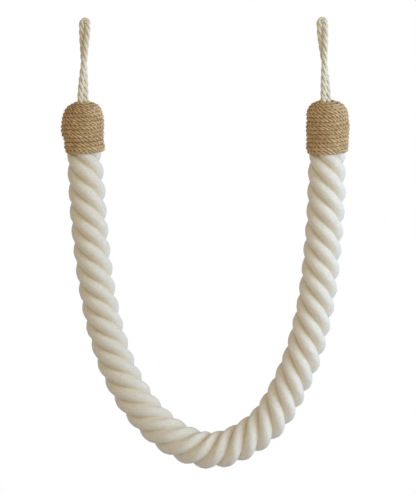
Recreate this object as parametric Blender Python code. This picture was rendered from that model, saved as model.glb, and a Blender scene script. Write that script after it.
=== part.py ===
"""Rope curtain tieback: a short length of thick four-strand cotton rope hanging in a U.

Each rope end is bound with jute twine, wound up into a dome, and a doubled cord loop stands
out of the top of each dome. Everything is in metres, +Z up. The origin lies midway between
the tops of the two loops, X runs from the left end to the right one, and -Y is the front.
"""

import math

import bmesh
import bpy
import numpy as np

COLLECTION = "rope_curtain_tieback"

# Gap that parts which touch keep between their faces.
CLEARANCE = 0.0003
# Corners closer together than this are welded into one.
WELD_DISTANCE = 0.00001
# How many close points stand for a spline, for the rope's route and for a short line.
ROUTE_POINTS = 4000
SHORT_LINE_POINTS = 400

# Main rope: four strands laid S-wise.
ROPE_STRANDS = 4
ROPE_STEP = 0.0044
# Radius at a groove between strands, over the radius at a strand's crest.
ROPE_GROOVE = 0.62
# Angles of a strand's outline points from its crest, from its groove to the next strand.
ROPE_OUTLINE_DEG = (-45, -34, -17, 0, 17, 34)
# A strand's outline falls from crest to groove as a cosine's half wave to this power.
STRAND_FULLNESS = 0.6

# Columns: distance along the rope from its left end, and how many strands' crests have passed
# the outer side of the U by then. The lay is longer down the legs than round the bottom.
ROPE_LAY = (
    (0.0000, -3.05),
    (0.0533, 0),
    (0.1395, 5),
    (0.2235, 10),
    (0.3230, 16),
    (0.3848, 20),
    (0.4470, 24),
    (0.5118, 28),
    (0.5775, 32),
    (0.6287, 35),
    (0.6840, 38.25),
)

# Columns: x and z of the rope's middle line, and its radius over the crests there.
# The rows run from the end inside the left winding, down round the U and up to the right end.
ROPE_ROUTE = (
    (-0.1060, -0.0840, 0.0122),
    (-0.1060, -0.0885, 0.0143),
    (-0.1059, -0.1060, 0.0144),
    (-0.1054, -0.1180, 0.0145),
    (-0.1050, -0.1240, 0.0154),
    (-0.1033, -0.1450, 0.0163),
    (-0.1012, -0.1760, 0.0163),
    (-0.0982, -0.2070, 0.0162),
    (-0.0937, -0.2400, 0.0162),
    (-0.0866, -0.2735, 0.0162),
    (-0.0768, -0.3050, 0.0162),
    (-0.0626, -0.3335, 0.0162),
    (-0.0432, -0.3574, 0.0162),
    (-0.0188, -0.3751, 0.0163),
    (0.0075, -0.3820, 0.0164),
    (0.0335, -0.3742, 0.0164),
    (0.0556, -0.3577, 0.0165),
    (0.0720, -0.3330, 0.0166),
    (0.0848, -0.3055, 0.0168),
    (0.0942, -0.2742, 0.0168),
    (0.1003, -0.2430, 0.0168),
    (0.1041, -0.2110, 0.0168),
    (0.1070, -0.1770, 0.0169),
    (0.1084, -0.1450, 0.0169),
    (0.1088, -0.1240, 0.0163),
    (0.1089, -0.1180, 0.0149),
    (0.1090, -0.1060, 0.0148),
    (0.1090, -0.0875, 0.0147),
    (0.1090, -0.0830, 0.0125),
)
# How many rows at each end lie inside the winding.
ROWS_IN_WINDING = 4

# Loop cord: three plies laid S-wise, each making one whole turn in CORD_LEAD. It is doubled,
# so a loop has two legs and a fold on top.
CORD_PLIES = 3
CORD_RADIUS = 0.00275
CORD_LEAD = 0.016
CORD_STEP = 0.0018
CORD_GROOVE = 0.70
CORD_OUTLINE_DEG = (-60, -25, 25)
LEG_SPACING = 2 * CORD_RADIUS + CLEARANCE
FOLD_STEPS = 24

# Columns: z and x of the line midway between the two legs, and the bearing of the first leg
# from it in degrees, 180 on the left, 270 in front and 360 on the right. The rows run from
# the legs' ends inside the winding up to where the fold starts.
LEFT_LOOP = (
    (-0.0836, -0.1062, 206),
    (-0.0720, -0.1062, 210),
    (-0.0610, -0.1059, 226),
    (-0.0510, -0.1056, 248),
    (-0.0400, -0.1053, 271),
    (-0.0300, -0.1050, 294),
    (-0.0200, -0.1048, 318),
    (-0.0120, -0.1046, 340),
    (-0.0063, -0.1045, 346),
)
RIGHT_LOOP = (
    (-0.0826, 0.1076, 214),
    (-0.0720, 0.1075, 218),
    (-0.0610, 0.1072, 232),
    (-0.0510, 0.1068, 249),
    (-0.0420, 0.1064, 268),
    (-0.0320, 0.1058, 293),
    (-0.0220, 0.1052, 318),
    (-0.0120, 0.1047, 344),
    (-0.0057, 0.1045, 354),
)

# Jute winding: turns of one twine, side by side up the rope's end and over into the dome.
TWINE_PITCH = 0.00362
TWINE_GROOVE = 0.0008
WRAP_SEGMENTS = 24
ROWS_PER_TURN = 3
# A ring's flat facets come closer to its middle than its corners do, by this ratio.
FACET_RATIO = math.cos(math.pi / WRAP_SEGMENTS)
# The dome's opening is a slot with round ends that just clears the two legs.
SLOT_END_RADIUS = (CORD_RADIUS + CLEARANCE) / FACET_RATIO
SLOT_REACH = SLOT_END_RADIUS + LEG_SPACING / 2
ROUND_FROM_RADIUS = 0.0115

# Columns: z, outer radius and x of the winding's middle, from its mouth to its opening.
LEFT_WRAP = (
    (-0.1204, 0.0168, -0.1045),
    (-0.1165, 0.0181, -0.1047),
    (-0.1105, 0.0178, -0.1054),
    (-0.1040, 0.0189, -0.1064),
    (-0.0975, 0.0192, -0.1065),
    (-0.0900, 0.0186, -0.1061),
    (-0.0845, 0.0172, -0.1061),
    (-0.0800, 0.0146, -0.1057),
    (-0.0768, 0.0100, -0.1055),
    (-0.0750, 0.0061, -0.1061),
)
RIGHT_WRAP = (
    (-0.1210, 0.0176, 0.1089),
    (-0.1170, 0.0187, 0.1088),
    (-0.1105, 0.0189, 0.1090),
    (-0.1045, 0.0191, 0.1091),
    (-0.0985, 0.0195, 0.1094),
    (-0.0915, 0.0189, 0.1092),
    (-0.0850, 0.0185, 0.1089),
    (-0.0805, 0.0167, 0.1088),
    (-0.0770, 0.0132, 0.1086),
    (-0.0748, 0.0085, 0.1080),
    (-0.0738, 0.0061, 0.1076),
)

# Columns: base colour and roughness.
FINISHES = {
    "rope_cotton": ((0.74, 0.70, 0.60, 1.0), 0.92),
    "jute_twine": ((0.47, 0.33, 0.19, 1.0), 0.95),
    "loop_cord": ((0.66, 0.60, 0.48, 1.0), 0.90),
}


def clear_scene():
    """Removes whatever the scene starts with."""
    for item in list(bpy.data.objects):
        bpy.data.objects.remove(item)


def finish(name):
    """A matt material, made once for each finish in the table."""
    material = bpy.data.materials.get(name)
    if material is None:
        colour, roughness = FINISHES[name]
        material = bpy.data.materials.new(name)
        material.use_nodes = True
        surface = material.node_tree.nodes["Principled BSDF"]
        surface.inputs["Base Color"].default_value = colour
        surface.inputs["Roughness"].default_value = roughness
        surface.inputs["Metallic"].default_value = 0.0
    return material


def add_part(name, mesh, finish_name, collection, parent):
    """Puts a finished mesh into the collection as one named part."""
    mesh.name = name
    mesh.materials.clear()
    mesh.materials.append(finish(finish_name))
    mesh.shade_smooth()
    part = bpy.data.objects.new(name, mesh)
    part.parent = parent
    collection.objects.link(part)
    return part


def spline_through(rows):
    """The natural cubic spline through the rows: returns a function that reads it at
    distances along the chords, and the whole distance."""
    rows = np.array(rows, dtype=float)
    chords = np.linalg.norm(np.diff(rows, axis=0), axis=1)
    knots = np.concatenate(([0.0], np.cumsum(chords)))
    count = len(rows)
    balance = np.eye(count)
    slopes = np.zeros_like(rows)
    for i in range(1, count - 1):
        before, after = chords[i - 1], chords[i]
        balance[i, i - 1:i + 2] = (before, 2 * (before + after), after)
        slopes[i] = 6 * ((rows[i + 1] - rows[i]) / after - (rows[i] - rows[i - 1]) / before)
    bends = np.linalg.solve(balance, slopes)

    def read(places):
        i = np.clip(np.searchsorted(knots, places) - 1, 0, count - 2)
        chord = chords[i][:, None]
        a = (knots[i + 1] - places)[:, None] / chord
        b = 1 - a
        curved = ((a ** 3 - a) * bends[i] + (b ** 3 - b) * bends[i + 1]) * chord ** 2 / 6
        return a * rows[i] + b * rows[i + 1] + curved

    return read, knots[-1]


def distances(line):
    """How far each point lies along a line of points."""
    steps = np.linalg.norm(np.diff(line, axis=0), axis=1)
    return np.concatenate(([0.0], np.cumsum(steps)))


def even_points(line, step):
    """Points evenly spaced along a fine line, about step apart, and how far along each lies."""
    along = distances(line)
    stations = np.linspace(0, along[-1], round(along[-1] / step) + 1)
    columns = [np.interp(stations, along, column) for column in line.T]
    return np.column_stack(columns), stations


def fine_line(rows, points):
    """The spline through the rows as many close points."""
    read, whole = spline_through(rows)
    return read(np.linspace(0, whole, points))


def laid_outline(strands, groove, offsets_deg):
    """Outline of a laid rope's section, one lobe for each strand, whose radius falls from 1 at
    its crest to groove."""
    outline = []
    for strand in range(strands):
        for offset in offsets_deg:
            half_wave = max(math.cos(math.radians(offset) * strands / 2), 0.0)
            radius = groove + (1 - groove) * half_wave ** STRAND_FULLNESS
            angle = math.radians(offset) + math.tau * strand / strands
            outline.append((radius * math.cos(angle), radius * math.sin(angle)))
    return outline


def laid_rope(line, radii, turns, outline):
    """Mesh of a laid rope: a curve along the line, bevelled with the section's outline, which
    each point's radius scales and its tilt turns, clockwise as seen down the rope."""
    flat = bpy.data.curves.new("section", "CURVE")
    flat.dimensions = "2D"
    ring = flat.splines.new("POLY")
    ring.points.add(len(outline) - 1)
    ring.use_cyclic_u = True
    for point, (x, y) in zip(ring.points, outline):
        point.co = (x, y, 0, 1)
    section = bpy.data.objects.new("section", flat)

    curve = bpy.data.curves.new("middle_line", "CURVE")
    curve.dimensions = "3D"
    curve.twist_mode = "MINIMUM"
    curve.bevel_mode = "OBJECT"
    curve.bevel_object = section
    curve.use_fill_caps = True
    spline = curve.splines.new("POLY")
    spline.points.add(len(line) - 1)
    for point, place, radius, turned in zip(spline.points, line, radii, turns):
        point.co = (*place, 1)
        point.radius = radius
        point.tilt = -math.tau * turned
    middle_line = bpy.data.objects.new("middle_line", curve)
    bpy.context.scene.collection.objects.link(middle_line)

    evaluated = middle_line.evaluated_get(bpy.context.evaluated_depsgraph_get())
    mesh = bpy.data.meshes.new_from_object(evaluated)
    bpy.data.objects.remove(middle_line)
    bpy.data.objects.remove(section)
    weld_and_face_out(mesh)
    return mesh


def weld_and_face_out(mesh):
    """Welds a mesh's loose caps and turns its faces outwards."""
    work = bmesh.new()
    work.from_mesh(mesh)
    bmesh.ops.remove_doubles(work, verts=work.verts, dist=WELD_DISTANCE)
    bmesh.ops.recalc_face_normals(work, faces=work.faces)
    work.to_mesh(mesh)
    work.free()


def rope_mesh():
    """The main rope, from its end in one winding round to its end in the other."""
    route = np.array(ROPE_ROUTE)
    line, stations = even_points(fine_line(route[:, :2], ROUTE_POINTS), ROPE_STEP)
    reach = distances(route[:, :2])
    radii = np.interp(stations, reach * stations[-1] / reach[-1], route[:, 2])
    passed = np.interp(stations, *np.array(ROPE_LAY).T)
    places = np.column_stack((line[:, 0], np.zeros(len(line)), line[:, 1]))
    outline = laid_outline(ROPE_STRANDS, ROPE_GROOVE, ROPE_OUTLINE_DEG)
    return laid_rope(places, radii, passed / ROPE_STRANDS, outline)


def loop_line(rows):
    """Middle line of a doubled cord: up one leg, round the fold, which is a half circle in
    the legs' own plane, and down the other leg."""
    reach = LEG_SPACING / 2
    lengths = [(z, x, reach * math.radians(bearing)) for z, x, bearing in rows]
    z, x, swung = fine_line(lengths, SHORT_LINE_POINTS).T
    turn = swung / reach
    side = np.column_stack((reach * np.cos(turn), reach * np.sin(turn), np.zeros(len(z))))
    middle = np.column_stack((x, np.zeros(len(z)), z))
    over = np.linspace(0, math.pi, FOLD_STEPS)[1:-1, None]
    up = np.array([[0.0, 0.0, reach]])
    fold = middle[-1] + side[-1] * np.cos(over) + up * np.sin(over)
    return np.concatenate((middle + side, fold, (middle - side)[::-1]))


def loop_mesh(rows):
    """One cord loop, with both of its ends inside the winding."""
    line, stations = even_points(loop_line(rows), CORD_STEP)
    outline = laid_outline(CORD_PLIES, CORD_GROOVE, CORD_OUTLINE_DEG)
    radii = np.full(len(line), CORD_RADIUS)
    return laid_rope(line, radii, stations / CORD_LEAD, outline)


def winding_rows(rows):
    """Outer rows of a winding, evenly spaced up its side and over its dome, with one row
    in each turn pressed in by the depth of the groove between two turns of twine."""
    line = even_points(fine_line(rows, SHORT_LINE_POINTS), TWINE_PITCH / ROWS_PER_TURN)[0]
    along = np.gradient(line[:, :2], axis=0)
    along /= np.linalg.norm(along, axis=1)[:, None]
    inwards = np.column_stack((along[:, 1], -along[:, 0]))
    in_groove = np.arange(len(line)) % ROWS_PER_TURN == 0
    in_groove[[0, -1]] = False
    line[in_groove, :2] += TWINE_GROOVE * inwards[in_groove]
    return line


def bore_rows(route_rows, mouth_z):
    """Inner rows of a winding: the rope's own radius and place, plus the clearance, from the
    rope's end down to the mouth. The bore's facets are flat, so its corners lie further out."""
    bound = np.array(route_rows[:ROWS_IN_WINDING + 1])
    heights = [bound[0, 1] + CLEARANCE, *bound[1:-1, 1], mouth_z]
    x_up, z_up, radius_up = bound[::-1].T
    rows = []
    for z in heights:
        x = np.interp(z, z_up, x_up)
        radius = np.interp(z, z_up, radius_up)
        rows.append((z, (radius + CLEARANCE) / FACET_RATIO, x))
    return np.array(rows)


def winding_ring(z, radius, x, turn):
    """One ring of a winding: a circle which, nearing the dome's opening, becomes a slot with
    round ends by drawing in towards the line through both legs."""
    nearness = (ROUND_FROM_RADIUS - radius) / (ROUND_FROM_RADIUS - SLOT_REACH)
    straight = LEG_SPACING / 2 * min(max(nearness, 0.0), 1.0)
    steps = np.arange(WRAP_SEGMENTS)
    angles = math.tau * steps / WRAP_SEGMENTS
    in_middle = steps % (WRAP_SEGMENTS // 2) == WRAP_SEGMENTS // 4
    wide_side = np.where(in_middle, 0, np.sign(np.cos(angles)))
    wide = (radius - straight) * np.cos(angles) + straight * wide_side
    deep = (radius - straight) * np.sin(angles)
    ring_x = x + wide * math.cos(turn) - deep * math.sin(turn)
    ring_y = wide * math.sin(turn) + deep * math.cos(turn)
    return np.column_stack((ring_x, ring_y, np.full(WRAP_SEGMENTS, z)))


def winding_mesh(wrap_rows, route_rows, loop_rows):
    """A jute winding: a loft of rings up the outside, in at the dome's opening and down the
    rope's bore."""
    foot_z, foot_x, bearing = loop_rows[0]
    outer = winding_rows(wrap_rows)
    bore = bore_rows(route_rows, wrap_rows[0][0])
    neck = np.array([(bore[0, 0], SLOT_REACH, foot_x)])
    rows = np.concatenate((outer, neck, bore))
    rings = [winding_ring(*row, math.radians(bearing)) for row in rows]
    faces = []
    for row in range(len(rings)):
        here = row * WRAP_SEGMENTS
        above = (row + 1) % len(rings) * WRAP_SEGMENTS
        for j in range(WRAP_SEGMENTS):
            k = (j + 1) % WRAP_SEGMENTS
            faces.append((here + j, here + k, above + k, above + j))
    mesh = bpy.data.meshes.new("winding")
    mesh.from_pydata(np.concatenate(rings).tolist(), [], faces)
    return mesh


def main():
    clear_scene()
    collection = bpy.data.collections.new(COLLECTION)
    bpy.context.scene.collection.children.link(collection)
    tieback = bpy.data.objects.new("tieback", None)
    collection.objects.link(tieback)

    add_part("rope", rope_mesh(), "rope_cotton", collection, tieback)
    for side, loop_rows in (("left", LEFT_LOOP), ("right", RIGHT_LOOP)):
        add_part("loop_" + side, loop_mesh(loop_rows), "loop_cord", collection, tieback)
    left = winding_mesh(LEFT_WRAP, ROPE_ROUTE, LEFT_LOOP)
    add_part("wrap_left", left, "jute_twine", collection, tieback)
    right = winding_mesh(RIGHT_WRAP, ROPE_ROUTE[::-1], RIGHT_LOOP)
    add_part("wrap_right", right, "jute_twine", collection, tieback)


main()
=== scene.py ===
# %% [markdown]
# # A rope curtain tieback
#
# The real object is a short length of very thick, soft cotton rope that hangs in a U and
# holds a curtain aside. Each of its ends is bound with jute twine, wound up over the end into a
# dome, and a doubled cord loop stands out of the dome to go over a hook.
#
# The solids of the part come first, as a fixed frame. Everything here is in metres, X runs from
# the left end to the right one, Z is up, and the front looks along -Y.

import bpy
import numpy as np
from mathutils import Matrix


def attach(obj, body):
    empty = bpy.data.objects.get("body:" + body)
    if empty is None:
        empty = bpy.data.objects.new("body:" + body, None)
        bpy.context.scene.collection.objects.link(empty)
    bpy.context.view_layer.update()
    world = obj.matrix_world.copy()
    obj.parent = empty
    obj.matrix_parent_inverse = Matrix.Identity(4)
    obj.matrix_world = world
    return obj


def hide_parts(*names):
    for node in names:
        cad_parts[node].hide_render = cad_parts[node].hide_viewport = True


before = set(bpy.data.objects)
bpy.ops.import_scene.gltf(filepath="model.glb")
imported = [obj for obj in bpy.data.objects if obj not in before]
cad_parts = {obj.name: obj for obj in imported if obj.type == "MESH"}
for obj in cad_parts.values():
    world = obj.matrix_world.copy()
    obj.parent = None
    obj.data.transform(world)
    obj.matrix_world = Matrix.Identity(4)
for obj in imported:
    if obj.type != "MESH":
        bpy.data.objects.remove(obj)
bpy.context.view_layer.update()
print("nodes in the frame:", ", ".join(sorted(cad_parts)))

# %% [markdown]
# ## The camera and the light
#
# The picture shows the tieback square on, without perspective, so the camera is orthographic.
# The light is a soft studio light: big cool panels on the right and behind on the left, and
# warm light from the front and all round, which turns the shaded side of every strand a little
# tan. The camera itself sees a white background, as in a picture for a shop.

# %% Camera
PICTURE_HEIGHT = 0.43384
PICTURE_CENTRE = (0.00387, -0.20266)
CAMERA_DISTANCE = 1.5

camera_data = bpy.data.cameras.new("camera")
camera_data.type = "ORTHO"
camera_data.ortho_scale = PICTURE_HEIGHT
camera = bpy.data.objects.new("camera", camera_data)
camera.location = (PICTURE_CENTRE[0], -CAMERA_DISTANCE, PICTURE_CENTRE[1])
camera.rotation_euler = (np.pi / 2, 0, 0)
bpy.context.scene.collection.objects.link(camera)
bpy.context.scene.camera = camera
bpy.context.scene.view_settings.view_transform = "Standard"
print("the camera sees", PICTURE_HEIGHT, "m from top to bottom")

# %% Light
# Columns: name, place, power in watts, side of the square panel, colour.
PANELS = (
    ("light_right", (2.0, -0.5, -0.1), 38.0, 2.0, (0.613, 0.763, 1.0)),
    ("light_right_front", (1.5, -1.6, 0.3), 12.1, 2.0, (0.54, 0.83, 1.0)),
    ("light_front", (0.2, -2.3, 0.0), 10.5, 2.0, (1.0, 0.73, 0.12)),
    ("light_left_behind", (-1.7, 1.1, -0.1), 9.0, 2.0, (0.78, 0.94, 1.0)),
)
# Every panel faces this point, in the middle of the U.
AIM = (0.0, 0.0, -0.2)
SURROUNDING_LIGHT = 0.325
SURROUNDING_COLOUR = (1.0, 0.825, 0.667)
BACKGROUND_COLOUR = (1.0, 1.0, 1.0)

for name, place, power, side, colour in PANELS:
    panel = bpy.data.lights.new(name, "AREA")
    panel.energy = power
    panel.size = side
    panel.color = colour
    lamp = bpy.data.objects.new(name, panel)
    lamp.location = place
    direction = lamp.location.copy()
    direction -= type(direction)(AIM)
    lamp.rotation_euler = direction.to_track_quat("Z", "Y").to_euler()
    bpy.context.scene.collection.objects.link(lamp)

world = bpy.data.worlds.new("studio")
world.use_nodes = True
world.node_tree.nodes.clear()
tree = world.node_tree
background = tree.nodes.new("ShaderNodeBackground")
background.inputs["Color"].default_value = (*BACKGROUND_COLOUR, 1)
background.inputs["Strength"].default_value = 1.0
surrounding = tree.nodes.new("ShaderNodeBackground")
surrounding.inputs["Color"].default_value = (*SURROUNDING_COLOUR, 1)
surrounding.inputs["Strength"].default_value = SURROUNDING_LIGHT
ray = tree.nodes.new("ShaderNodeLightPath")
either = tree.nodes.new("ShaderNodeMixShader")
world_output = tree.nodes.new("ShaderNodeOutputWorld")
tree.links.new(ray.outputs["Is Camera Ray"], either.inputs[0])
tree.links.new(surrounding.outputs[0], either.inputs[1])
tree.links.new(background.outputs[0], either.inputs[2])
tree.links.new(either.outputs[0], world_output.inputs[0])
bpy.context.scene.world = world
print("panels of light:", len(PANELS))

# %% [markdown]
# ## Helpers for things that are spun, laid and wound
#
# Rope, cord and twine are all the same kind of surface: an outline carried along a line. The
# helpers below make smooth lines through a few named points, and turn rings of points into a
# closed mesh. Each point also keeps its place along the strand and in its section as an
# attribute, so that a material can run its fibres along the strand without any UV seam.

# %% Lines through a few points
def spline_through(rows):
    """The natural cubic spline through the rows: returns a function that reads it at
    distances along the chords, and the whole distance."""
    rows = np.array(rows, dtype=float)
    chords = np.linalg.norm(np.diff(rows, axis=0), axis=1)
    knots = np.concatenate(([0.0], np.cumsum(chords)))
    count = len(rows)
    balance = np.eye(count)
    slopes = np.zeros_like(rows)
    for i in range(1, count - 1):
        before, after = chords[i - 1], chords[i]
        balance[i, i - 1:i + 2] = (before, 2 * (before + after), after)
        slopes[i] = 6 * ((rows[i + 1] - rows[i]) / after - (rows[i] - rows[i - 1]) / before)
    bends = np.linalg.solve(balance, slopes)

    def read(places):
        i = np.clip(np.searchsorted(knots, places) - 1, 0, count - 2)
        chord = chords[i][:, None]
        a = (knots[i + 1] - places)[:, None] / chord
        b = 1 - a
        curved = ((a ** 3 - a) * bends[i] + (b ** 3 - b) * bends[i + 1]) * chord ** 2 / 6
        return a * rows[i] + b * rows[i + 1] + curved

    return read, knots[-1]


def fine_line(rows, points=4000):
    """The spline through the rows as many close points."""
    read, whole = spline_through(rows)
    return read(np.linspace(0, whole, points))


def distances(line):
    """How far each point lies along a line of points."""
    steps = np.linalg.norm(np.diff(line, axis=0), axis=1)
    return np.concatenate(([0.0], np.cumsum(steps)))


def unit(vectors):
    """The vectors at length one."""
    return vectors / np.linalg.norm(vectors, axis=-1, keepdims=True)


def once_round(steps):
    """Angles at even steps, once round."""
    return np.linspace(0, 2 * np.pi, steps, endpoint=False)


def as_points(x, y, z):
    """Three coordinates, of shapes that fit together, as one array of points."""
    return np.stack(np.broadcast_arrays(x, y, z), axis=-1)


# The waves' lengths lie between these shares of the one asked for.
WAVE_LENGTHS = (0.6, 1.7)
# The sum of the waves is divided by this, and by the root of their number.
WAVE_HEIGHT = 1.2


def slow_waves(places, wavelength, seed, waves=5):
    """A smooth uneven curve between about -1 and 1: the sum of a few sine waves whose lengths
    lie round the given one and whose starts are drawn at random, brought down to that height."""
    draw = np.random.default_rng(seed)
    lengths = wavelength * draw.uniform(*WAVE_LENGTHS, waves)
    starts = draw.uniform(0, 2 * np.pi, waves)
    heights = np.sin(2 * np.pi * places[..., None] / lengths + starts)
    return heights.sum(axis=-1) / np.sqrt(waves) / WAVE_HEIGHT


# %% Rings of points to a closed mesh
def tube_faces(rings, around, first):
    """Corners of a tube's square faces and of the triangles that close its two ends. The
    tube's points are numbered ring by ring from first, and its two end points come last. The
    faces look outwards when the rings turn right-handed about the way the tube runs."""
    ring, step = np.meshgrid(np.arange(rings - 1), np.arange(around), indexing="ij")
    beside = (step + 1) % around
    low = first + ring * around
    high = low + around
    squares = np.stack((low + step, low + beside, high + beside, high + step), axis=-1)
    step = np.arange(around)
    beside = (step + 1) % around
    start = np.full(around, first + rings * around)
    last_ring = first + (rings - 1) * around
    near_end = np.stack((first + beside, first + step, start), axis=-1)
    far_end = np.stack((last_ring + step, last_ring + beside, start + 1), axis=-1)
    return squares.reshape(-1, 4), np.concatenate((near_end, far_end))


def make_piece(name, grids, notes):
    """One mesh object from closed tubes. A grid holds a tube's points, (rings, around, 3), and
    its notes hold the same points' places along the strand and across it, (rings, around, 3),
    and how deep they lie in a groove, from 0 to 1, (rings, around)."""
    points, straight, depth, squares, triangles = [], [], [], [], []
    first = 0
    for grid, (place, groove) in zip(grids, notes):
        rings, around = grid.shape[:2]
        points += [grid.reshape(-1, 3), grid[[0, -1]].mean(axis=1)]
        straight += [place.reshape(-1, 3), place[[0, -1]].mean(axis=1)]
        depth += [groove.reshape(-1), np.ones(2)]
        four, three = tube_faces(rings, around, first)
        squares.append(four)
        triangles.append(three)
        first += rings * around + 2
    points, straight = np.concatenate(points), np.concatenate(straight)
    squares, triangles = np.concatenate(squares), np.concatenate(triangles)
    corners = np.concatenate((squares.ravel(), triangles.ravel()))
    starts = np.concatenate((
        np.arange(len(squares)) * 4,
        squares.size + np.arange(len(triangles)) * 3,
    ))
    mesh = bpy.data.meshes.new(name)
    mesh.vertices.add(len(points))
    mesh.vertices.foreach_set("co", points.astype(np.float32).ravel())
    mesh.loops.add(len(corners))
    mesh.loops.foreach_set("vertex_index", corners.astype(np.int32))
    mesh.polygons.add(len(starts))
    mesh.polygons.foreach_set("loop_start", starts.astype(np.int32))
    mesh.update(calc_edges=True)
    mesh.validate()
    mesh.shade_smooth()
    strand_note = mesh.attributes.new("strand", "FLOAT_VECTOR", "POINT")
    strand_note.data.foreach_set("vector", straight.astype(np.float32).ravel())
    # The groove note is the share of painted shade that a finish puts in the grooves; closed ends
    # get it all.
    groove_shade_note = mesh.attributes.new("groove", "FLOAT", "POINT")
    groove_shade_note.data.foreach_set("value", np.concatenate(depth).astype(np.float32))
    piece = bpy.data.objects.new(name, mesh)
    bpy.context.scene.collection.objects.link(piece)
    print(name, "has", len(squares) * 2 + len(triangles), "triangles")
    return piece


# %% [markdown]
# ## The thick rope
#
# Four strands are laid side by side round the rope's middle line. Where a flat cut goes
# straight across the rope, each round strand shows as an ellipse, because it runs aslant:
# it is wider round the rope than it is deep. The strands are soft, so the ellipses press a
# little into their neighbours, which gives the broad full bands of a real laid rope.
#
# The rope could be one twisted outline, as in the solids. Separate strands are used here,
# because the grooves between them are deep, and no two strands are equally full. A plain tube
# inside the rope stands for the fuzz that closes the bottom of the grooves, which would be
# black slits without it. It is painted all over with the grooves' painted shade.

# %% The rope's route and lay
# Columns: x and z of the rope's middle line, and its radius over the crests there.
ROPE_ROUTE = (
    (-0.1060, -0.0840, 0.0122),
    (-0.1060, -0.0885, 0.0143),
    (-0.1059, -0.1060, 0.0144),
    (-0.1054, -0.1180, 0.0145),
    (-0.1050, -0.1240, 0.0154),
    (-0.1033, -0.1450, 0.0163),
    (-0.1012, -0.1760, 0.0163),
    (-0.0982, -0.2070, 0.0162),
    (-0.0937, -0.2400, 0.0162),
    (-0.0866, -0.2735, 0.0162),
    (-0.0768, -0.3050, 0.0162),
    (-0.0626, -0.3335, 0.0162),
    (-0.0432, -0.3574, 0.0162),
    (-0.0188, -0.3751, 0.0163),
    (0.0075, -0.3820, 0.0164),
    (0.0335, -0.3742, 0.0164),
    (0.0556, -0.3577, 0.0165),
    (0.0720, -0.3330, 0.0166),
    (0.0848, -0.3055, 0.0168),
    (0.0942, -0.2742, 0.0168),
    (0.1003, -0.2430, 0.0168),
    (0.1041, -0.2110, 0.0168),
    (0.1070, -0.1770, 0.0169),
    (0.1084, -0.1450, 0.0169),
    (0.1088, -0.1240, 0.0163),
    (0.1089, -0.1180, 0.0149),
    (0.1090, -0.1060, 0.0148),
    (0.1090, -0.0875, 0.0147),
    (0.1090, -0.0830, 0.0125),
)
# Columns: distance along the rope from its left end, and how many strands' crests have passed
# the outer side of the U by then.
ROPE_LAY = (
    (0.0000, -3.05),
    (0.0533, 0),
    (0.1397, 5),
    (0.2236, 10),
    (0.3228, 16),
    (0.3846, 20),
    (0.4468, 24),
    (0.5121, 28),
    (0.5785, 32),
    (0.6299, 35),
    (0.6840, 38.18),
)
# Seen from the front, the grooves lie a little off from where the outline's scallops would put
# them, so each straight cut across the rope leans along it. Per unit of distance to the front
# of the middle line, it leans by as much of this step to the right and up as lies along the rope:
LEAN_TO_FRONT = (-0.22, -0.15)
# Columns: distance along the rope, and lean along it per unit of distance out of the U.
LEAN_OUTWARDS = (
    (0.06, 0.02),
    (0.11, 0.02),
    (0.20, 0.00),
    (0.27, 0.00),
    (0.36, 0.07),
    (0.41, 0.00),
    (0.54, 0.00),
    (0.62, -0.02),
)
ROPE_STRANDS = 4
ROPE_RING_STEP = 0.00125
ROPE_AROUND = 36
# The ellipse that a strand shows in a straight cut, over the rope's radius: the distance of its
# middle from the rope's, its half depth and its half width.
STRAND_MIDDLE = 0.57
STRAND_DEEP = 0.43
STRAND_WIDE = 0.46
# A strand's round steps are closer together on its outer side: 0 for even steps, 1 for the most.
STRAND_CROWDING = 0.42
# Fuzz fills the grooves up to this share of the rope's radius.
FUZZ_REACH = 0.68
FUZZ_AROUND = 24
# Each strand gets fuller and thinner by this share, over about this length.
STRAND_SWELL = 0.02
STRAND_SWELL_LENGTH = 0.05
# The soft yarn of a strand is uneven by about this much. Its lumps are this long, and fit up to
# this many times round the strand.
STRAND_UNEVEN = 0.00008
LUMP_LENGTHS = (0.005, 0.018)
LUMPS_ROUND = 4
# A strand is about this many times as long as the rope, because it runs aslant.
STRAND_PER_ROPE = 1.4
# The painted groove shade is full this far in from the crests, over the rope's radius.
STRAND_GROOVE_SHADE = 0.4
# A strand's own yarns wind round it once in a lead, against the rope's lay.
YARN_LEAD = 0.11
STRAND_SPUN_RADIUS = 0.0072

route = np.array(ROPE_ROUTE)
fine = fine_line(route[:, :2])
along_fine = distances(fine)
ROPE_LENGTH = along_fine[-1]
print("the rope is", round(ROPE_LENGTH, 3), "m long")


# %% The four strands
def rope_frame(stations):
    """The rope's middle line at distances along it, the direction along it, and the two
    directions across it: out of the U in its own plane, and straight to the front."""
    middle = np.column_stack([np.interp(stations, along_fine, c) for c in fine.T])
    tangent = unit(np.gradient(middle, axis=0))
    flat = np.zeros(len(stations))
    places = np.column_stack((middle[:, 0], flat, middle[:, 1]))
    onwards = np.column_stack((tangent[:, 0], flat, tangent[:, 1]))
    outwards = np.column_stack((tangent[:, 1], flat, -tangent[:, 0]))
    front = np.tile((0.0, -1.0, 0.0), (len(stations), 1))
    return places, onwards, outwards, front


def on_rope(stations, outward, forward):
    """Points round the rope, given as far as they lie out of the U and to the front. Each
    straight cut leans along the rope, so a point also moves along it a little."""
    places, onwards, outwards, front = (part[:, None] for part in rope_frame(stations))
    to_front = onwards[..., 0] * LEAN_TO_FRONT[0] + onwards[..., 2] * LEAN_TO_FRONT[1]
    to_outside = np.interp(stations, *np.array(LEAN_OUTWARDS).T)[:, None]
    lean = forward * to_front + outward * to_outside
    across = outward[..., None] * outwards + forward[..., None] * front
    return places + across + lean[..., None] * onwards


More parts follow.
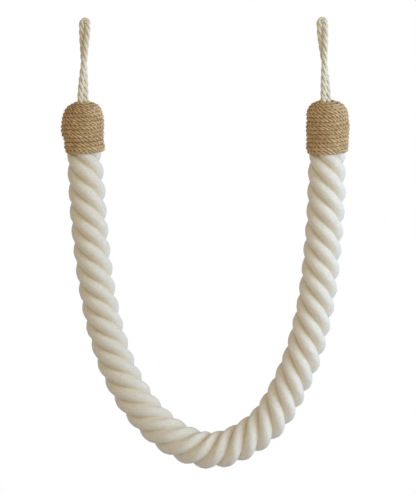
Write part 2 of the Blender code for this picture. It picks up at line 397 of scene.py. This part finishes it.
def uneven_skin(run, turn, seed, waves=14):
    """Small lumps over a strand, about from -1 to 1: the sum of slanted waves that fit a
    whole number of times round it, over the root of how many there are."""
    draw = np.random.default_rng(seed)
    total = 0
    for length, times, start in zip(
        draw.uniform(*LUMP_LENGTHS, waves),
        draw.integers(-LUMPS_ROUND, LUMPS_ROUND + 1, waves),
        draw.uniform(0, 2 * np.pi, waves),
    ):
        total = total + np.sin(2 * np.pi * run / length + times * turn + start)
    return total / np.sqrt(waves)


def rope_stations(step):
    """Even stations along the rope, and the radius over the crests at each."""
    stations = np.linspace(0, ROPE_LENGTH, int(ROPE_LENGTH / step) + 1)
    reach = distances(route[:, :2])
    radius = np.interp(stations, reach * ROPE_LENGTH / reach[-1], route[:, 2])
    return stations, radius[:, None]


def strand_grid(strand):
    """One strand of the rope. At each station its middle lies at the angle that the lay gives,
    and its ellipse is half depth times cosine outwards from there and half width times sine
    round the rope. Its rings turn left-handed, so they are handed on the other way round."""
    stations, radius = rope_stations(ROPE_RING_STEP)
    passed = np.interp(stations, *np.array(ROPE_LAY).T)
    angle = np.pi / 2 * (passed + strand)[:, None]
    even = once_round(ROPE_AROUND)[None, :]
    turn = even - STRAND_CROWDING * np.sin(even)
    full = 1 + STRAND_SWELL * slow_waves(stations, STRAND_SWELL_LENGTH, 10 + strand)[:, None]
    lumps = uneven_skin(stations[:, None] * STRAND_PER_ROPE, turn, 20 + strand)
    full = full + STRAND_UNEVEN / radius / STRAND_DEEP * lumps
    up = radius * (STRAND_MIDDLE + STRAND_DEEP * full * np.cos(turn))
    beside = radius * STRAND_WIDE * full * np.sin(turn)
    outward = up * np.cos(angle) - beside * np.sin(angle)
    forward = up * np.sin(angle) + beside * np.cos(angle)
    grid = on_rope(stations, outward, forward)
    run = distances(grid.mean(axis=1))[:, None]
    spun = turn + run * 2 * np.pi / YARN_LEAD
    place = as_points(
        run + strand,
        STRAND_SPUN_RADIUS * np.cos(spun),
        STRAND_SPUN_RADIUS * np.sin(spun),
    )
    # How deep a point lies between strands, which sets how much painted shade the finish puts
    # there.
    groove = np.clip((1 - np.hypot(up, beside) / radius) / STRAND_GROOVE_SHADE, 0, 1)
    return grid[:, ::-1], (place[:, ::-1], groove[:, ::-1])


def fuzz_grid():
    """A plain tube inside the rope, which shows only at the bottom of the grooves."""
    stations, radius = rope_stations(2 * ROPE_RING_STEP)
    turn = once_round(FUZZ_AROUND)[None, :]
    outward = FUZZ_REACH * radius * np.cos(turn)
    forward = FUZZ_REACH * radius * np.sin(turn)
    grid = on_rope(stations, outward, forward)
    place = as_points(stations[:, None] + ROPE_STRANDS, outward, forward)
    # Its note is full groove all over, so the finish paints the whole tube in painted shade.
    return grid[:, ::-1], (place[:, ::-1], np.ones(grid.shape[:2]))


tubes = [strand_grid(strand) for strand in range(ROPE_STRANDS)] + [fuzz_grid()]
rope = make_piece("thick_rope", [grid for grid, _ in tubes], [notes for _, notes in tubes])

# %% [markdown]
# ## The cord loops
#
# A loop is one three-ply cord, doubled: up one leg, over a tight fold and down the other leg.
# The two legs lie against each other and swing half round on the way up, so one crosses in
# front of the other. Each ply is a tube of its own, wound round the cord's middle line.

# %% Loop lines
CORD_RADIUS = 0.00275
CORD_LEAD = 0.0185
CORD_PLIES = 3
CORD_STEP = 0.0006
CORD_AROUND = 20
# The legs press into each other by this much.
CORD_PRESS = 0.0004
LEG_SPACING = 2 * CORD_RADIUS - CORD_PRESS
# The ellipse of a ply in a straight cut, over the cord's radius: the distance of its middle from
# the cord's, its half depth and its half width.
CORD_ELLIPSE = (0.546, 0.454, 0.545)
# A ply's round steps are closer together on its outer side.
CORD_CROWDING = 0.3
# A ply strays this far in radians from an even twist, and gets fuller and thinner by this
# share. Each has the length over which it comes and goes.
CORD_STRAY = 0.105
CORD_STRAY_LENGTH = 0.03
CORD_SWELL = 0.03
CORD_SWELL_LENGTH = 0.012
# A ply's own yarns wind round it once in a lead.
CORD_YARN_LEAD = 0.02
CORD_SPUN_RADIUS = 0.0014
# The painted groove shade is full this far in from the crests, over the cord's radius.
CORD_GROOVE_SHADE = 0.45
LOOP_LINE_POINTS = 400
LOOP_FOLD_POINTS = 60

# Columns: z and x of the line midway between the two legs, and the bearing of the first leg
# from it in degrees, 180 on the left, 270 in front and 360 on the right.
LEFT_LOOP = (
    (-0.0836, -0.1062, 206),
    (-0.0720, -0.1062, 210),
    (-0.0610, -0.1059, 226),
    (-0.0510, -0.1056, 248),
    (-0.0400, -0.1053, 271),
    (-0.0300, -0.1050, 294),
    (-0.0200, -0.1048, 318),
    (-0.0120, -0.1046, 340),
    (-0.0063, -0.1045, 346),
)
RIGHT_LOOP = (
    (-0.0826, 0.1076, 214),
    (-0.0720, 0.1075, 218),
    (-0.0610, 0.1072, 232),
    (-0.0510, 0.1068, 249),
    (-0.0420, 0.1064, 268),
    (-0.0320, 0.1058, 293),
    (-0.0220, 0.1052, 318),
    (-0.0120, 0.1047, 344),
    (-0.0057, 0.1045, 354),
)


def loop_line(rows):
    """Middle line of a doubled cord, and the bearing of the plane its legs lie in: up one leg,
    round a half circle in the legs' own plane, and down the other leg."""
    reach = LEG_SPACING / 2
    lengths = [(z, x, reach * np.radians(bearing)) for z, x, bearing in rows]
    z, x, swung = fine_line(lengths, LOOP_LINE_POINTS).T
    turn = swung / reach
    side = np.column_stack((reach * np.cos(turn), reach * np.sin(turn), np.zeros(len(z))))
    middle = np.column_stack((x, np.zeros(len(z)), z))
    over = np.linspace(0, np.pi, LOOP_FOLD_POINTS)[1:-1, None]
    fold = middle[-1] + side[-1] * np.cos(over) + np.array([[0, 0, reach]]) * np.sin(over)
    line = np.concatenate((middle + side, fold, (middle - side)[::-1]))
    bearings = np.concatenate((turn, np.full(len(fold), turn[-1]), turn[::-1]))
    return line, bearings


# %% [markdown]
# A laid cord could be a plain tube with a bump that looks like plies. Here each ply is a tube of
# its own, because the plies' scalloped edge shows against the white background. The helper that
# lays them serves the cord loops and, further on, the jute twine.

# %% Plies of a cord
def even_stations(line, step, *others):
    """Distances at even steps along a line of points, the points there, and whatever other
    vectors belong to the line's points, read off there too."""
    along = distances(line)
    stations = np.linspace(0, along[-1], int(along[-1] / step) + 1)
    read_off = [
        np.column_stack([np.interp(stations, along, column) for column in values.T])
        for values in (line, *others)
    ]
    return stations, *read_off


def ply_grid(places, first, second, angle, turn, full, radius, ellipse):
    """One ply of a cord. At each station its middle lies at an angle round the cord's middle
    line, up = first cos angle + second sin angle, and its ellipse is half depth times cosine
    up from there and half width times sine beside it, all over the cord's radius."""
    ply_middle, half_depth, half_width = ellipse
    up = first * np.cos(angle)[:, None] + second * np.sin(angle)[:, None]
    beside = second * np.cos(angle)[:, None] - first * np.sin(angle)[:, None]
    full = full[:, None, None]
    deep = half_depth * full * np.cos(turn)[None, :, None]
    wide = half_width * full * np.sin(turn)[None, :, None]
    return places[:, None] + radius * ((ply_middle + deep) * up[:, None] + wide * beside[:, None])


# %% Loops
def cord_frame(line, bearings):
    """Even stations along a doubled cord and the points there, with the two directions across
    it: in the plane of the legs, and away from that plane."""
    stations, places, bearing = even_stations(line, CORD_STEP, bearings[:, None])
    bearing = bearing[:, 0]
    off_plane = np.column_stack((-np.sin(bearing), np.cos(bearing), np.zeros(len(stations))))
    tangent = unit(np.gradient(places, axis=0))
    in_plane = unit(np.cross(off_plane, tangent))
    return stations, places, in_plane, np.cross(tangent, in_plane)


def loop_piece(name, rows, seed):
    """A cord loop: each ply's ellipse turns round the cord's middle line once in a lead, less
    the turn that the legs' own plane makes."""
    stations, places, first, second = cord_frame(*loop_line(rows))
    even = once_round(CORD_AROUND)
    turn = even - CORD_CROWDING * np.sin(even)
    grids, notes = [], []
    for ply in range(CORD_PLIES):
        stray = CORD_STRAY * slow_waves(stations, CORD_STRAY_LENGTH, seed + ply)
        angle = -2 * np.pi * (stations / CORD_LEAD + ply / CORD_PLIES) + stray
        full = 1 + CORD_SWELL * slow_waves(stations, CORD_SWELL_LENGTH, seed + 7 + ply)
        grid = ply_grid(places, first, second, angle, turn, full, CORD_RADIUS, CORD_ELLIPSE)
        run = distances(grid.mean(axis=1))[:, None]
        spun = turn + run * 2 * np.pi / CORD_YARN_LEAD
        place = as_points(
            run + ply,
            CORD_SPUN_RADIUS * np.cos(spun),
            CORD_SPUN_RADIUS * np.sin(spun),
        )
        reach = np.linalg.norm(grid - places[:, None], axis=-1) / CORD_RADIUS
        grids.append(grid)
        # The note is how deep a point lies between plies: the share of painted shade the finish
        # puts there.
        notes.append((place, np.clip((1 - reach) / CORD_GROOVE_SHADE, 0, 1)))
    return make_piece(name, grids, notes), places


loop_left, left_loop_path = loop_piece("cord_loop_left", LEFT_LOOP, 30)
loop_right, right_loop_path = loop_piece("cord_loop_right", RIGHT_LOOP, 50)

# %% [markdown]
# ## The jute windings
#
# One length of three-ply jute twine is wound round and round each rope end, every turn tight
# against the last, then in over the dome to the legs of the loop. Here it really is one long
# twine: its middle line is a helix that follows the winding's outline, and three plies twist
# about that line.

# %% Winding outlines
# Columns: z, outer radius and x of the winding's middle, from its mouth to its opening.
LEFT_WRAP = (
    (-0.1204, 0.0168, -0.1045),
    (-0.1165, 0.0181, -0.1047),
    (-0.1105, 0.0178, -0.1054),
    (-0.1040, 0.0189, -0.1064),
    (-0.0975, 0.0192, -0.1065),
    (-0.0900, 0.0186, -0.1061),
    (-0.0845, 0.0172, -0.1061),
    (-0.0800, 0.0146, -0.1057),
    (-0.0768, 0.0100, -0.1055),
    (-0.0750, 0.0061, -0.1061),
)
RIGHT_WRAP = (
    (-0.1210, 0.0176, 0.1089),
    (-0.1170, 0.0187, 0.1088),
    (-0.1105, 0.0189, 0.1090),
    (-0.1045, 0.0191, 0.1091),
    (-0.0985, 0.0195, 0.1094),
    (-0.0915, 0.0189, 0.1092),
    (-0.0850, 0.0185, 0.1089),
    (-0.0805, 0.0167, 0.1088),
    (-0.0770, 0.0132, 0.1086),
    (-0.0748, 0.0085, 0.1080),
    (-0.0738, 0.0061, 0.1076),
)
TWINE_PITCH = 0.00372
TWINE_RADIUS = 0.00205
TWINE_PLIES = 3
TWINE_LEAD = 0.0114
TWINE_STEP = 0.0008
TWINE_AROUND = 12
# The ellipse of a twine's ply in a straight cut, over the twine's radius, as for the cords.
TWINE_ELLIPSE = (0.55, 0.45, 0.51)
# The plies stray this far in radians from an even twist, and get fuller and thinner by this
# share. Each has the length over which it comes and goes.
TWINE_STRAY = 1.2
TWINE_STRAY_LENGTH = 0.05
TWINE_SWELL = 0.06
TWINE_SWELL_LENGTH = 0.015
TWINE_SPUN_RADIUS = 0.001
# Painted shade in a groove starts this far out from the twine's middle line, over its radius,
# and darkens this fast inwards. Between two plies it goes by the distance from that line, and
# between two turns by the height over it.
PLY_GROOVE_SHADE_FROM = 0.92
PLY_GROOVE_SHADE_RATE = 1.1
TURN_GROOVE_SHADE_FROM = 0.6
TURN_GROOVE_SHADE_RATE = 2.2
# Each turn hangs this much lower in front, per unit of distance in front of its middle.
TURN_TILT = 0.12
# All turns lie this much higher than the outline's own.
TURNS_UP = 0.0004
# The turns dip and rise unevenly: by how much, and over how much of a turn in radians.
TURN_DIP = 0.00012
TURN_DIP_ANGLE = 5.0
TURN_RISE = 0.00025
TURN_RISE_ANGLE = 4.0
POINTS_PER_TURN = 300
# The winding is round down to the first radius, and a slot along the legs at the second.
ROUND_FROM_RADIUS = 0.0115
OPENING_REACH = 0.0060
# The turns lie on a bed of earlier ones, this far inside the outline, painted all over with
# painted shade.
BED_INSIDE = 0.0013
# The bed stops short of the two ends of the outline by this much.
BED_SHORT_AT_MOUTH = 0.0018
BED_SHORT_AT_OPENING = 0.001
BED_RINGS = 60
BED_AROUND = 64
OUTLINE_POINTS = 1200

print("turns of twine lie", round(TWINE_PITCH * 1000, 2), "mm apart")


# %% Where the turns lie
def read_outline(wrap_rows):
    """A winding's outline as a function of the distance along it: z, radius and x there, and
    the upward and the outward part of the direction straight out of the outline."""
    outline = fine_line(wrap_rows, OUTLINE_POINTS)
    run = distances(outline[:, :2])
    tangent = unit(np.gradient(outline[:, :2], axis=0))
    outwards = np.column_stack((-tangent[:, 1], tangent[:, 0]))
    outwards *= np.sign(outwards[:1, 1:])
    columns = (*outline.T, *outwards.T)
    return lambda at: [np.interp(at, run, column) for column in columns], run[-1]


def round_winding(z, radius, x, around, bearing):
    """Points round a winding. They lie on a circle, which near the opening draws in to a slot
    along the legs' bearing, and which hangs a little lower in front."""
    near = np.clip((ROUND_FROM_RADIUS - radius) / (ROUND_FROM_RADIUS - OPENING_REACH), 0, 1)
    narrow = LEG_SPACING / 2 * near
    turn = np.radians(bearing)
    wide = radius * np.cos(around - turn)
    deep = (radius - narrow) * np.sin(around - turn)
    behind = wide * np.sin(turn) + deep * np.cos(turn)
    side = x + wide * np.cos(turn) - deep * np.sin(turn)
    return as_points(side, behind, z + TURN_TILT * behind)


def twine_line(wrap_rows, bearing, seed):
    """Middle line of a winding's twine, and the direction straight out of the winding. The
    turns follow the outline a twine's radius inside it, one pitch further along it each turn:
    the distance along the outline is pitch times angle over a full turn."""
    read, whole = read_outline(wrap_rows)
    turns = whole / TWINE_PITCH
    angle = np.linspace(0, 2 * np.pi * turns, int(turns * POINTS_PER_TURN))
    z, radius, x, out_z, out_r = read(angle / (2 * np.pi) * TWINE_PITCH)
    inside = TWINE_RADIUS + TURN_DIP * slow_waves(angle, TURN_DIP_ANGLE, seed)
    z = z - inside * out_z + TURN_RISE * slow_waves(angle, TURN_RISE_ANGLE, seed + 1) + TURNS_UP
    around = np.pi / 2 + angle
    line = round_winding(z, radius - inside * out_r, x, around, bearing)
    straight_out = np.column_stack((out_r * np.cos(around), out_r * np.sin(around), out_z))
    return line, unit(straight_out)


def bed_grid(wrap_rows, bearing):
    """The bed under the turns: the winding's outline, drawn in and turned right round."""
    read, whole = read_outline(wrap_rows)
    at = np.linspace(BED_SHORT_AT_MOUTH, whole - BED_SHORT_AT_OPENING, BED_RINGS)
    z, radius, x, out_z, out_r = (column[:, None] for column in read(at))
    around = once_round(BED_AROUND)[None, :]
    radius = radius - BED_INSIDE * out_r
    grid = round_winding(z - BED_INSIDE * out_z, radius, x, around, bearing)
    place = as_points(radius * around, z, x)
    # The bed's note is full groove all over, so the finish paints it wholly in painted shade.
    return grid, (place, np.ones(grid.shape[:2]))


# %% Windings
def winding_piece(name, wrap_rows, loop_rows, seed):
    """A jute winding: each ply's ellipse turns round the twine's middle line once in a lead,
    and the bed, in painted groove shade, closes the chinks between the turns. Its skin, the
    outermost points of the twine with the directions along it and out of it, is where fibre ends
    can start."""
    bearing = loop_rows[0][2]
    line, straight_out = twine_line(wrap_rows, bearing, seed)
    stations, places, first = even_stations(line, TWINE_STEP, straight_out)
    tangent = unit(np.gradient(places, axis=0))
    first = unit(first - tangent * (first * tangent).sum(axis=1)[:, None])
    second = np.cross(tangent, first)
    turn = once_round(TWINE_AROUND)
    grids, notes = [], []
    for ply in range(TWINE_PLIES):
        stray = TWINE_STRAY * slow_waves(stations, TWINE_STRAY_LENGTH, seed + 3)
        angle = 2 * np.pi * (stations / TWINE_LEAD + ply / TWINE_PLIES) + stray
        full = 1 + TWINE_SWELL * slow_waves(stations, TWINE_SWELL_LENGTH, seed + 7 + ply)
        grid = ply_grid(places, first, second, angle, turn, full, TWINE_RADIUS, TWINE_ELLIPSE)
        run = distances(grid.mean(axis=1))[:, None]
        place = as_points(
            run + ply,
            TWINE_SPUN_RADIUS * np.cos(turn),
            TWINE_SPUN_RADIUS * np.sin(turn),
        )
        across = (grid - places[:, None]) / TWINE_RADIUS
        reach = np.linalg.norm(across, axis=-1)
        height = (across * first[:, None]).sum(axis=-1)
        # Shares of painted shade: between two plies, and between two turns.
        between_plies = PLY_GROOVE_SHADE_RATE * (PLY_GROOVE_SHADE_FROM - reach)
        between_turns = TURN_GROOVE_SHADE_RATE * (TURN_GROOVE_SHADE_FROM - height)
        grids.append(grid)
        notes.append((place, np.clip(np.maximum(between_plies, between_turns), 0, 1)))
    bed, bed_notes = bed_grid(wrap_rows, bearing)
    skin = (places + TWINE_RADIUS * first, tangent, first)
    return make_piece(name, grids + [bed], notes + [bed_notes]), skin


wrap_left, left_skin = winding_piece("jute_winding_left", LEFT_WRAP, LEFT_LOOP, 70)
wrap_right, right_skin = winding_piece("jute_winding_right", RIGHT_WRAP, RIGHT_LOOP, 90)

# %% [markdown]
# ## Loose fibre ends
#
# Jute twine is spun from short, stiff fibres, and some of their ends stand out of it. They are
# what makes its edge look hairy from close up. Each is a very thin three-sided tube that leaves
# the twine slowly, almost along it, and curls a little. A hair system could do it too, but it
# would not be a mesh, and these few hundred are cheap.

# %% Fibre ends
ENDS_PER_WINDING = 400
END_LENGTHS = (0.003, 0.008)
END_THICKNESS = 0.0001
# At a share t of its length an end is this less t times as thick, so its tip is nearly a point.
END_TAPER = 1.1
# Each starts this far under the twine's skin.
END_ROOT_DEPTH = 0.0002
# The tip stands off the twine by up to this much, and by at least this share of it.
END_LIFT = 0.0011
END_LEAST_LIFT = 0.3
# Up to these shares of its length go aside from the twine, straight and by curling.
END_SLANT = 0.7
END_CURL = 0.5
END_RINGS = 5
END_SIDES = 3


def fibre_ends(name, skin, seed):
    """Many fibre ends as one piece. The skin holds points of the surface, with the directions
    along the strand and out of it. An end goes along by its length times t, aside by a share
    of that times t squared, and off the surface by its lift times t to the power 1.5."""
    points, along, out = skin
    count = ENDS_PER_WINDING
    draw = np.random.default_rng(seed)
    root = draw.integers(2, len(points) - 2, count)
    length = draw.uniform(*END_LENGTHS, count)[:, None, None]
    slant = draw.uniform(-END_SLANT, END_SLANT, count)[:, None]
    curl = draw.uniform(-END_CURL, END_CURL, count)[:, None, None]
    lift = END_LIFT * draw.uniform(END_LEAST_LIFT, 1.0, count)[:, None, None]
    way = draw.choice((-1.0, 1.0), count)[:, None]
    ahead, off = unit(along[root]) * way, unit(out[root])
    aside = np.cross(off, ahead)
    ahead = unit(ahead + slant * aside)[:, None]
    off = off[:, None]
    aside = np.cross(off, ahead)
    t = np.linspace(0, 1, END_RINGS)[None, :, None]
    middle = points[root][:, None] - END_ROOT_DEPTH * off + length * t * ahead
    middle = middle + length * curl * t ** 2 * aside + lift * t ** 1.5 * off
    turn = once_round(END_SIDES)[None, None, :, None]
    thin = END_THICKNESS / 2 * (END_TAPER - t[..., None])
    round_it = np.cos(turn) * aside[:, :, None] + np.sin(turn) * off[:, :, None]
    ends = middle[:, :, None] - thin * round_it
    place = np.broadcast_to(middle[:, :, None], ends.shape)
    groove = np.zeros(ends.shape[:3])
    return make_piece(name, ends, zip(place, groove))


jute_ends_left = fibre_ends("jute_ends_left", left_skin, 110)
jute_ends_right = fibre_ends("jute_ends_right", right_skin, 111)

# %% [markdown]
# ## Finishes
#
# All three finishes are spun fibre, and differ in colour, in how coarse the fibre is, and in
# how much painted shade they get between the strands. One node group does the fibre.

# %% Fibre node group
GRAIN_DETAIL = 4.0
GRAIN_ROUGHNESS = 0.65
MOTTLE_DETAIL = 3.0
# The mottle's share in the height, where the grain's is 1.
MOTTLE_HEIGHT = 0.3


def fibre_group():
    """A node group that puts out a fibre pattern running along the strand: noise whose grain
    is drawn out along the strand, a coarser mottle, and the two as one height."""
    group = bpy.data.node_groups.new("spun_fibre", "ShaderNodeTree")
    new_socket = group.interface.new_socket
    for socket_name, value in (("Grain", 900.0), ("Draw", 0.12), ("Mottle", 60.0)):
        socket = new_socket(socket_name, in_out="INPUT", socket_type="NodeSocketFloat")
        socket.default_value = value
    for socket_name in ("Fibre", "Mottling", "Height"):
        new_socket(socket_name, in_out="OUTPUT", socket_type="NodeSocketFloat")
    nodes, links = group.nodes, group.links
    given = nodes.new("NodeGroupInput")
    result = nodes.new("NodeGroupOutput")
    strand = nodes.new("ShaderNodeAttribute")
    strand.attribute_name = "strand"
    drawn = nodes.new("ShaderNodeVectorMath")
    drawn.operation = "MULTIPLY"
    stretch = nodes.new("ShaderNodeCombineXYZ")
    stretch.inputs["Y"].default_value = 1.0
    stretch.inputs["Z"].default_value = 1.0
    links.new(given.outputs["Draw"], stretch.inputs["X"])
    links.new(strand.outputs["Vector"], drawn.inputs[0])
    links.new(stretch.outputs[0], drawn.inputs[1])
    grain = nodes.new("ShaderNodeTexNoise")
    grain.inputs["Detail"].default_value = GRAIN_DETAIL
    grain.inputs["Roughness"].default_value = GRAIN_ROUGHNESS
    links.new(drawn.outputs[0], grain.inputs["Vector"])
    links.new(given.outputs["Grain"], grain.inputs["Scale"])
    mottle = nodes.new("ShaderNodeTexNoise")
    mottle.inputs["Detail"].default_value = MOTTLE_DETAIL
    links.new(strand.outputs["Vector"], mottle.inputs["Vector"])
    links.new(given.outputs["Mottle"], mottle.inputs["Scale"])
    height = nodes.new("ShaderNodeMath")
    height.operation = "MULTIPLY_ADD"
    height.inputs[1].default_value = MOTTLE_HEIGHT
    links.new(mottle.outputs["Fac"], height.inputs[0])
    links.new(grain.outputs["Fac"], height.inputs[2])
    links.new(grain.outputs["Fac"], result.inputs["Fibre"])
    links.new(mottle.outputs["Fac"], result.inputs["Mottling"])
    links.new(height.outputs[0], result.inputs["Height"])
    return group


FIBRE = fibre_group()

# %% A spun finish
SPECULAR = 0.15
SHEEN_ROUGHNESS = 0.6
# The colour turns from shade to crest between these heights of the fibre pattern.
SHADE_TO_CREST = (0.36, 0.62)
# The painted groove shade comes in between these depths of the groove.
INTO_GROOVE_SHADE = (0.25, 0.95)


def colour_ramp(nodes, places, colours):
    """A node that goes from the first colour at the first place to the second at the second."""
    ramp = nodes.new("ShaderNodeValToRGB")
    for index in (0, 1):
        ramp.color_ramp.elements[index].position = places[index]
        ramp.color_ramp.elements[index].color = (*colours[index], 1)
    return ramp


def spun_finish(name, crest, shade, painted_groove_shade, grain, draw, mottle, bump, sheen, roughness):
    """A matt fibre finish: the colour goes from shade to crest with the fibre, and to a
    painted groove shade where the strand dips between its neighbours."""
    material = bpy.data.materials.new(name)
    material.use_nodes = True
    nodes, links = material.node_tree.nodes, material.node_tree.links
    surface = nodes["Principled BSDF"]
    surface.inputs["Roughness"].default_value = roughness
    surface.inputs["Specular IOR Level"].default_value = SPECULAR
    surface.inputs["Sheen Weight"].default_value = sheen
    surface.inputs["Sheen Roughness"].default_value = SHEEN_ROUGHNESS
    fibre = nodes.new("ShaderNodeGroup")
    fibre.node_tree = FIBRE
    fibre.inputs["Grain"].default_value = grain
    fibre.inputs["Draw"].default_value = draw
    fibre.inputs["Mottle"].default_value = mottle
    both = nodes.new("ShaderNodeMath")
    both.operation = "ADD"
    mean = nodes.new("ShaderNodeMath")
    mean.operation = "MULTIPLY"
    mean.inputs[1].default_value = 0.5
    links.new(fibre.outputs["Fibre"], both.inputs[0])
    links.new(fibre.outputs["Mottling"], both.inputs[1])
    links.new(both.outputs[0], mean.inputs[0])
    fibre_colour = colour_ramp(nodes, SHADE_TO_CREST, (shade, crest))
    links.new(mean.outputs[0], fibre_colour.inputs["Fac"])
    groove = nodes.new("ShaderNodeAttribute")
    groove.attribute_name = "groove"
    groove_shade_share = colour_ramp(nodes, INTO_GROOVE_SHADE, ((0, 0, 0), (1, 1, 1)))
    links.new(groove.outputs["Fac"], groove_shade_share.inputs["Fac"])
    # Painted shade: where the groove note is deep, the groove colour is mixed in over the fibre
    # colour.
    # In a colour mix, input 0 is the share, and inputs 6 and 7 are the two colours.
    groove_shaded = nodes.new("ShaderNodeMix")
    groove_shaded.data_type = "RGBA"
    groove_shaded.inputs[7].default_value = (*painted_groove_shade, 1)
    links.new(groove_shade_share.outputs["Color"], groove_shaded.inputs[0])
    links.new(fibre_colour.outputs["Color"], groove_shaded.inputs[6])
    links.new(groove_shaded.outputs[2], surface.inputs["Base Color"])
    relief = nodes.new("ShaderNodeBump")
    relief.inputs["Strength"].default_value = 1.0
    relief.inputs["Distance"].default_value = bump
    links.new(fibre.outputs["Height"], relief.inputs["Height"])
    links.new(relief.outputs[0], surface.inputs["Normal"])
    return material


# Columns: crest, shade and painted groove shade colours, grain, draw, mottle, bump, sheen,
# roughness.
FINISHES = {
    "soft_cotton": (
        (0.975, 0.952, 0.905), (0.85, 0.81, 0.735), (0.86, 0.79, 0.66),
        900.0, 0.20, 420.0, 0.00022, 0.1, 0.95,
    ),
    "loop_cotton": (
        (0.94, 0.90, 0.81), (0.85, 0.795, 0.68), (0.80, 0.71, 0.55),
        1100.0, 0.12, 200.0, 0.0001, 0.1, 0.92,
    ),
    "jute": (
        (0.93, 0.72, 0.46), (0.455, 0.302, 0.156), (0.375, 0.232, 0.105),
        1500.0, 0.07, 220.0, 0.0003, 0.0, 0.9,
    ),
}
finishes = {name: spun_finish(name, *values) for name, values in FINISHES.items()}

# %% Dress the pieces
# Columns: piece, finish, material slot, and the CAD solid that the piece stands for.
for piece, name, slot, node in (
    (rope, "soft_cotton", "rope_cotton", "rope"),
    (loop_left, "loop_cotton", "loop_cord", "loop_left"),
    (loop_right, "loop_cotton", "loop_cord", "loop_right"),
    (wrap_left, "jute", "jute_twine", "wrap_left"),
    (wrap_right, "jute", "jute_twine", "wrap_right"),
):
    piece.data.materials.append(finishes[name])
    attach(piece, "root")
    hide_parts(node)
for ends in (jute_ends_left, jute_ends_right):
    ends.data.materials.append(finishes["jute"])
    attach(ends, "root")
print("finishes:", ", ".join(finishes))

# %% [markdown]
# ## The loops' lengths
#
# The thick rope and the two loops are flexible. The rope goes from one winding to the other.
# A loop starts and ends in its winding, and its length is measured here.

for piece, path in ((loop_left, left_loop_path), (loop_right, right_loop_path)):
    long = distances(path)[-1]
    print(piece.name, "is a cord", round(long, 3), "m long")

# %% [markdown]
# ## The floor
#
# The tieback hangs, so the floor lies a little below it, out of the picture.

# %% Floor
FLOOR_Z = -0.46
FLOOR_HALF = 4.0
FLOOR_COLOUR = (0.8, 0.8, 0.79)
FLOOR_ROUGHNESS = 0.9

floor_corners = [
    (-FLOOR_HALF, -FLOOR_HALF, FLOOR_Z),
    (FLOOR_HALF, -FLOOR_HALF, FLOOR_Z),
    (FLOOR_HALF, FLOOR_HALF, FLOOR_Z),
    (-FLOOR_HALF, FLOOR_HALF, FLOOR_Z),
]
floor_mesh = bpy.data.meshes.new("floor")
floor_mesh.from_pydata(floor_corners, [], [(0, 1, 2, 3)])
floor = bpy.data.objects.new("floor", floor_mesh)
floor_paint = bpy.data.materials.new("pale_floor")
floor_paint.use_nodes = True
floor_surface = floor_paint.node_tree.nodes["Principled BSDF"]
floor_surface.inputs["Base Color"].default_value = (*FLOOR_COLOUR, 1)
floor_surface.inputs["Roughness"].default_value = FLOOR_ROUGHNESS
floor_mesh.materials.append(floor_paint)
bpy.context.scene.collection.objects.link(floor)
print("the floor lies at z =", FLOOR_Z, "m")
